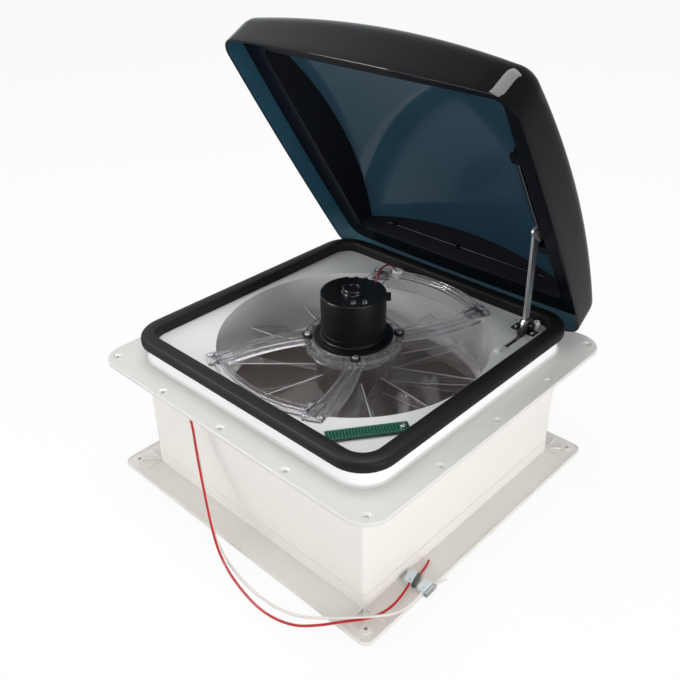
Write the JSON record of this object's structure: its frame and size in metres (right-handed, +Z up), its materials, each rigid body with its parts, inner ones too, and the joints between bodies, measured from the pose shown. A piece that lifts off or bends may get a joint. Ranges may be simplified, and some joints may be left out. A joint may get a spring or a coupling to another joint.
{
  "type": "roof_vent",
  "caption": "Square caravan roof vent with a hinged dome lid lifted by a geared arm, a motor fan on a clear bracket, a curb seal, a deep neck with a ceiling flange and loose supply wires",
  "frame": {"origin": "Centre of the roof flange's underside, in the plane that rests on the roof.", "axes": "+Z up, out of the roof; +Y towards the hinge; +X towards the side with the lift arm."},
  "size_m": [0.4294, 0.4844, 0.5223],
  "materials": {
    "housing_white": "smooth moulded white",
    "frame_cream": "smooth moulded cream",
    "seal_rubber": "matt black",
    "clear_tint": "clear tinted plastic",
    "motor_black": "satin black",
    "bright_steel": "zinc plated",
    "dark_magnet": "sintered magnet",
    "copper_core": "lacquered copper and laminations",
    "board_green": "green circuit board",
    "screen_brown": "dark brown woven wire",
    "lid_black": "glossy smoked black",
    "frame_black": "satin black",
    "liner_teal": "dark blue-green inner face",
    "nylon_grey": "grey nylon",
    "gear_nylon": "natural nylon",
    "control_dark": "dark grey",
    "wire_red": "red insulation",
    "wire_white": "off-white insulation",
    "tap_pale": "pale blue-grey plastic",
    "tap_clear": "clear plastic",
    "rubber_grommet": "pale rubber"
  },
  "bodies": {
    "housing": {"roof_flange_base": "housing_white", "interior_frame": "frame_cream", "curb_seal": "seal_rubber", "fan_tray": "housing_white", "motor_bracket": "clear_tint", "tray_pan_screws": "bright_steel", "motor_flange": "bright_steel", "motor_screws": "bright_steel", "motor_can": "motor_black", "motor_end_cap": "motor_black", "brush_caps": "bright_steel", "motor_magnets": "dark_magnet", "motor_bearings": "bright_steel", "screen_frame": "frame_cream", "insect_screen": "screen_brown", "rain_sensor_carrier": "tap_clear", "rain_sensor_board": "board_green", "hinge_brackets": "bright_steel", "hinge_pins": "bright_steel", "arm_bracket": "bright_steel", "arm_pivot_pin": "bright_steel", "operator_case": "control_dark", "crank_bush": "nylon_grey", "control_panel": "frame_cream", "housing_screws": "bright_steel", "wire_grommet": "rubber_grommet", "motor_lead": "wire_red", "lead_boss": "housing_white", "red_wire": "wire_red", "white_wire": "wire_white", "red_tap": "tap_pale", "white_tap": "tap_pale", "tap_windows": "tap_clear", "red_stub": "wire_red", "white_stub": "wire_white"},
    "lid": {"lid_shell": "lid_black", "lid_inner_frame": "frame_black", "lid_liner": "liner_teal", "guide_rod": "bright_steel", "rod_clips": "frame_black", "tie_rod": "bright_steel", "hinge_leaves": "bright_steel", "leaf_rivets": "bright_steel"},
    "lift_arm": {"lift_arm": "bright_steel", "arm_pins": "bright_steel", "arm_sector": "gear_nylon"},
    "arm_shoe": {"arm_shoe": "nylon_grey"},
    "pinion": {"drive_pinion": "gear_nylon", "worm_wheel": "gear_nylon", "pinion_shaft": "bright_steel"},
    "crank": {"worm": "gear_nylon", "crank_shaft": "bright_steel", "crank_knob": "control_dark"},
    "fan_rotor": {"motor_shaft": "bright_steel", "armature": "copper_core", "impeller_hub": "clear_tint", "impeller_blades": "clear_tint", "impeller_nut": "bright_steel"},
    "speed_knob": {"speed_knob": "control_dark"},
    "mode_rocker": {"mode_rocker": "control_dark"}
  },
  "joints": [
    {"name": "lid_hinge", "type": "hinge", "parent": "housing", "child": "lid", "pos_m": [0, 0.1841, 0.0178], "axis": [1, 0, 0], "range_deg": [0, 58]},
    {"name": "arm_pivot", "type": "hinge", "parent": "housing", "child": "lift_arm", "pos_m": [0.14125, 0.144, 0.0335], "axis": [1, 0, 0], "range_deg": [0, 80]},
    {"name": "shoe_pivot", "type": "hinge", "parent": "lift_arm", "child": "arm_shoe", "pos_m": [0.146, 0.14195, 0.15118], "axis": [1, 0, 0], "range_deg": [-22, 0]},
    {"name": "pinion_spin", "type": "hinge", "parent": "housing", "child": "pinion", "pos_m": [0.145, 0.144, 0.006], "axis": [1, 0, 0], "range_deg": [-213, 0]},
    {"name": "crank_spin", "type": "hinge", "parent": "housing", "child": "crank", "pos_m": [0.134, 0.158, 0], "axis": [0, 0, 1], "range_deg": [0, 1275]},
    {"name": "fan_spin", "type": "hinge", "parent": "housing", "child": "fan_rotor", "pos_m": [0, 0, 0], "axis": [0, 0, 1], "continuous": true},
    {"name": "speed_turn", "type": "hinge", "parent": "housing", "child": "speed_knob", "pos_m": [-0.018, -0.15, -0.11], "axis": [0, 1, 0], "range_deg": [0, 300]},
    {"name": "mode_tilt", "type": "hinge", "parent": "housing", "child": "mode_rocker", "pos_m": [0.02, -0.1558, -0.11], "axis": [1, 0, 0], "range_deg": [-8, 8]}
  ],
  "couplings": [
    {"joint": "arm_pivot", "follows": "lid_hinge", "ratio": 1.3722},
    {"joint": "shoe_pivot", "follows": "lid_hinge", "ratio": -0.3722},
    {"joint": "pinion_spin", "follows": "lid_hinge", "ratio": -3.6592},
    {"joint": "crank_spin", "follows": "lid_hinge", "ratio": 21.955}
  ]
}
